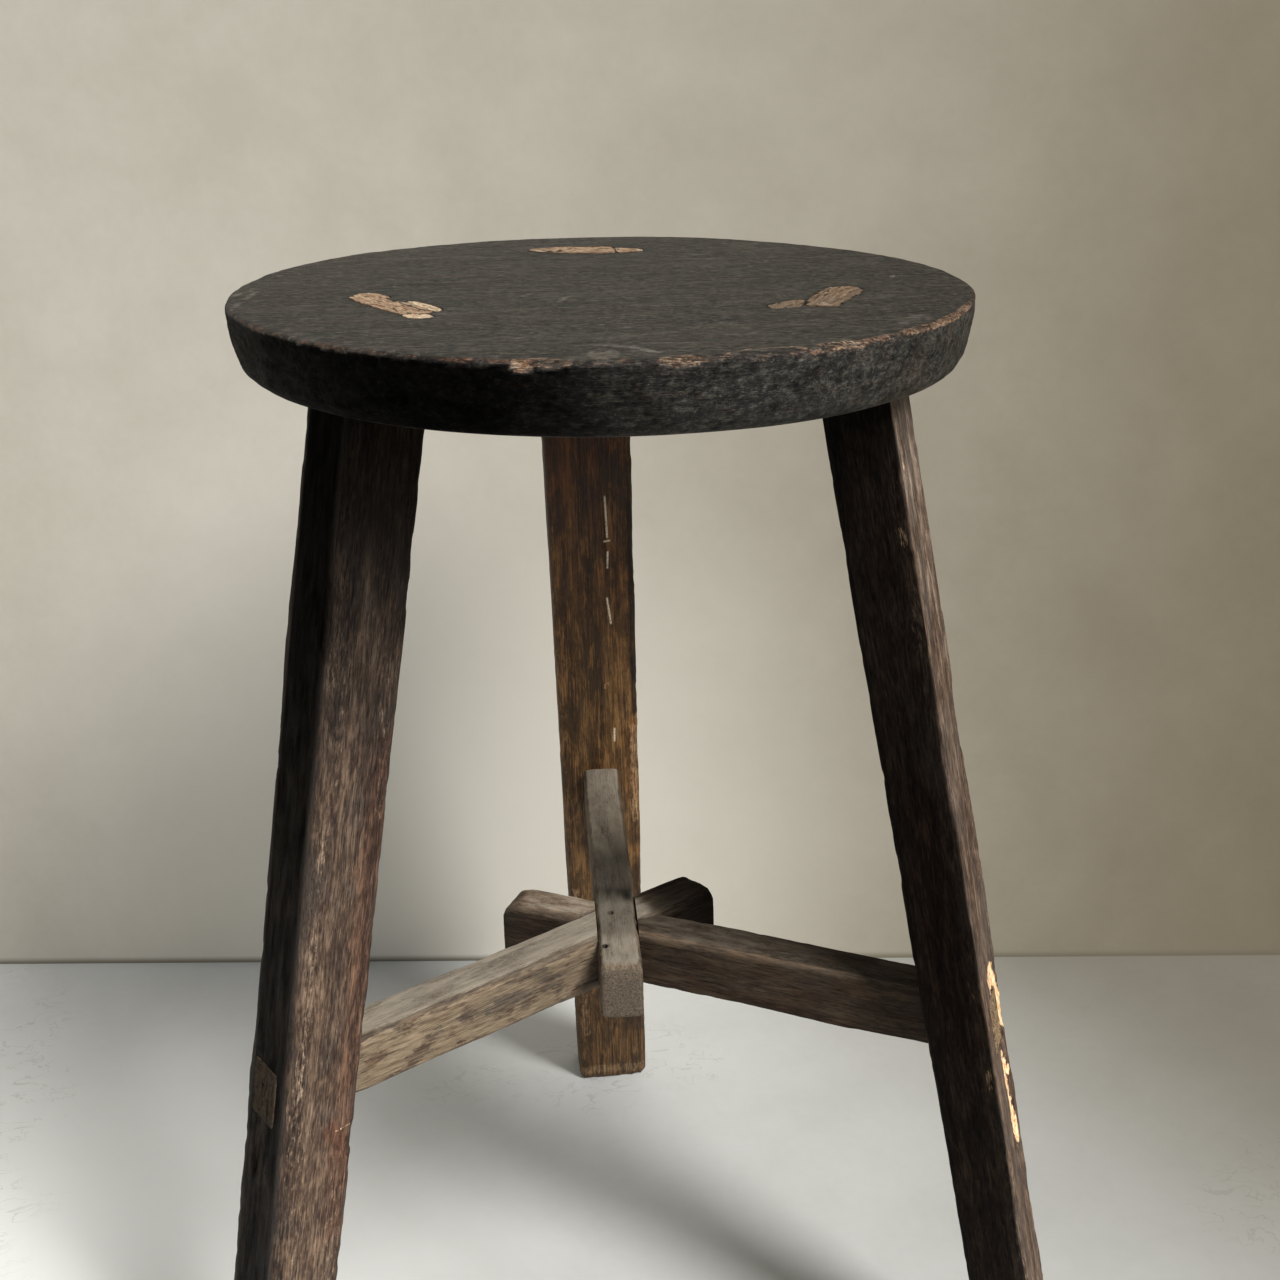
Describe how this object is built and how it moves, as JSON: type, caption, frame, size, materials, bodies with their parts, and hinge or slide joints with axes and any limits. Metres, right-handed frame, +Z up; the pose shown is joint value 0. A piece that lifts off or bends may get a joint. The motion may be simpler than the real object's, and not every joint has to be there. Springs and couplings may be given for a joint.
{
  "type": "three-legged stool",
  "caption": "Low three-legged wooden stool: round slab seat, splayed legs tenoned through it, and stretchers that cross in a lap joint under the seat.",
  "frame": {"origin": "on the floor, at the centre of the footprint box of the whole stool", "axes": "+Z up to the seat, +Y towards the back leg, +X towards the front right leg's side"},
  "size_m": [0.3954, 0.3672, 0.524],
  "materials": {
    "seat_wood": "old, dark and dusty, worn to red-brown wood along the rim",
    "leg_wood": "dark brown stain worn to tan along the corners",
    "back_leg_wood": "warm brown, matte, with fine upright grain",
    "stretcher_wood": "bare dusty grey-brown",
    "slip_wood": "pale raw wood, rough"
  },
  "bodies": {
    "root": {"seat": "seat_wood", "front_left_leg": "leg_wood", "front_right_leg": "leg_wood", "back_leg": "back_leg_wood", "front_left_stretcher": "stretcher_wood", "front_right_stretcher": "stretcher_wood", "back_stretcher": "stretcher_wood", "front_left_inner_slip": "slip_wood", "front_left_outer_slip": "slip_wood", "front_left_small_slip": "slip_wood", "front_right_tenon_wedge": "slip_wood", "back_tenon_wedge": "slip_wood"}
  },
  "joints": []
}
